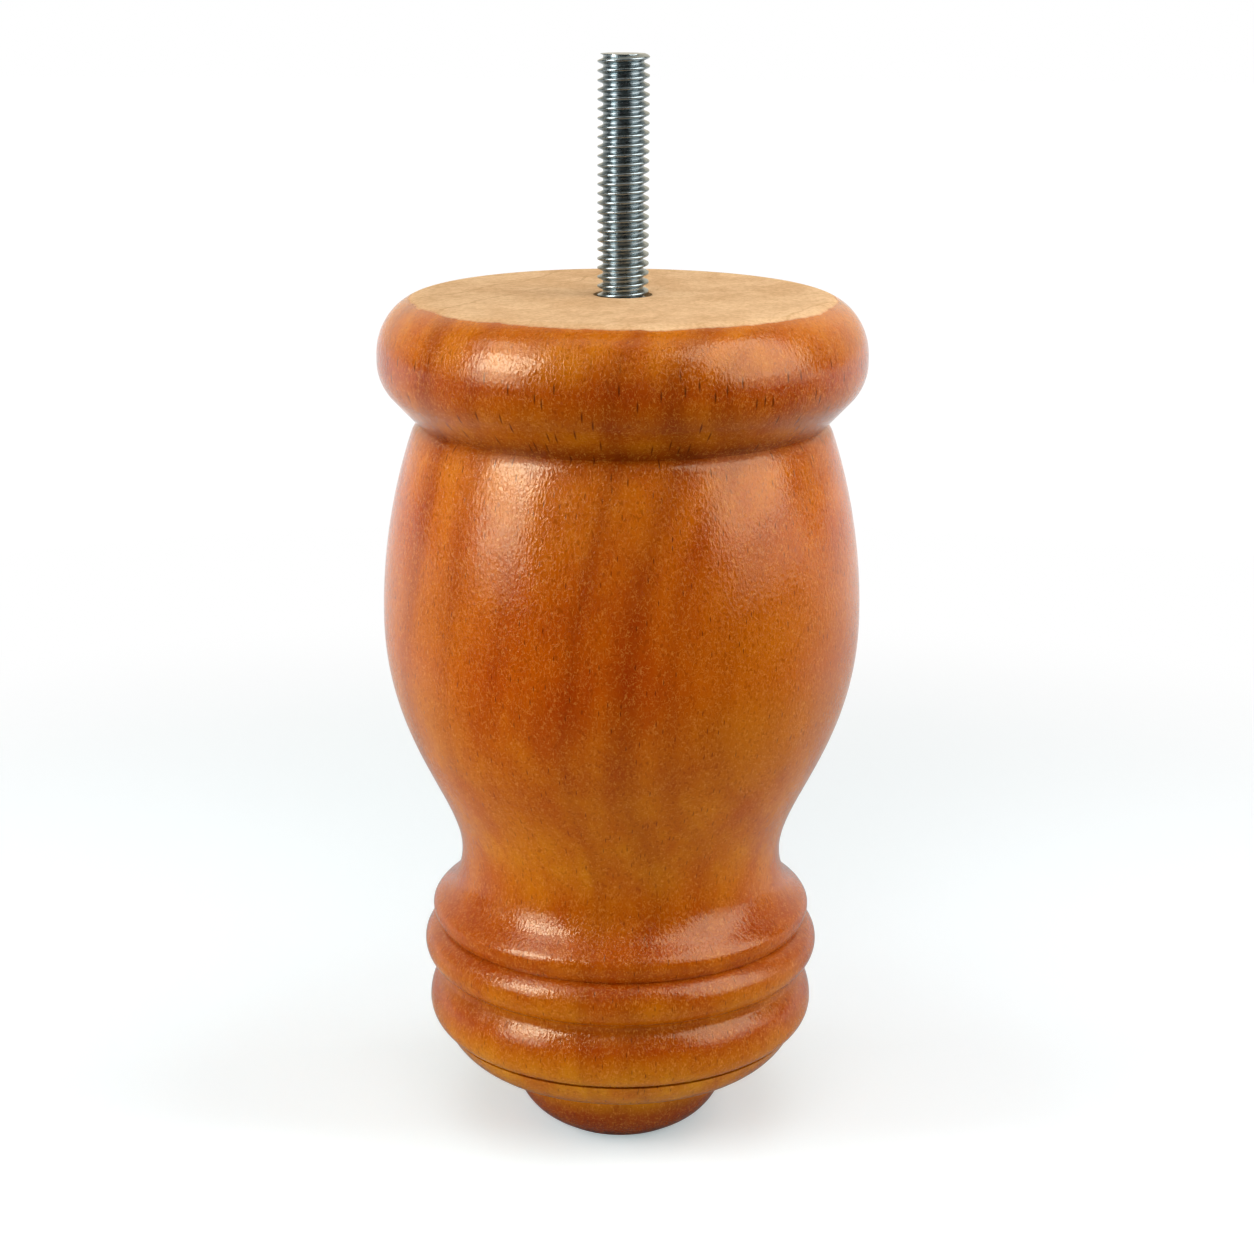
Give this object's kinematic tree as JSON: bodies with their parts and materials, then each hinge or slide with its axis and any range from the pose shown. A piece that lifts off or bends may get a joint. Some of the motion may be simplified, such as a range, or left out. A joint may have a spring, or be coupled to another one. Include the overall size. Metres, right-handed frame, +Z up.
{
  "type": "furniture leg",
  "caption": "Turned hardwood furniture leg, vase-shaped above stacked beads and a small foot, with a threaded steel stud standing in its top.",
  "frame": {"origin": "centre of the foot's flat face, where the leg stands on the floor", "axes": "+Z up the turning's axis and out of the stud; X and Y are alike"},
  "size_m": [0.0762, 0.0762, 0.1733],
  "materials": {
    "lacquered_wood": "stained and gloss lacquered",
    "zinc_plated_steel": "bright zinc plated"
  },
  "bodies": {
    "root": {"turned_leg": "lacquered_wood", "hanger_bolt": "zinc_plated_steel"}
  },
  "joints": []
}
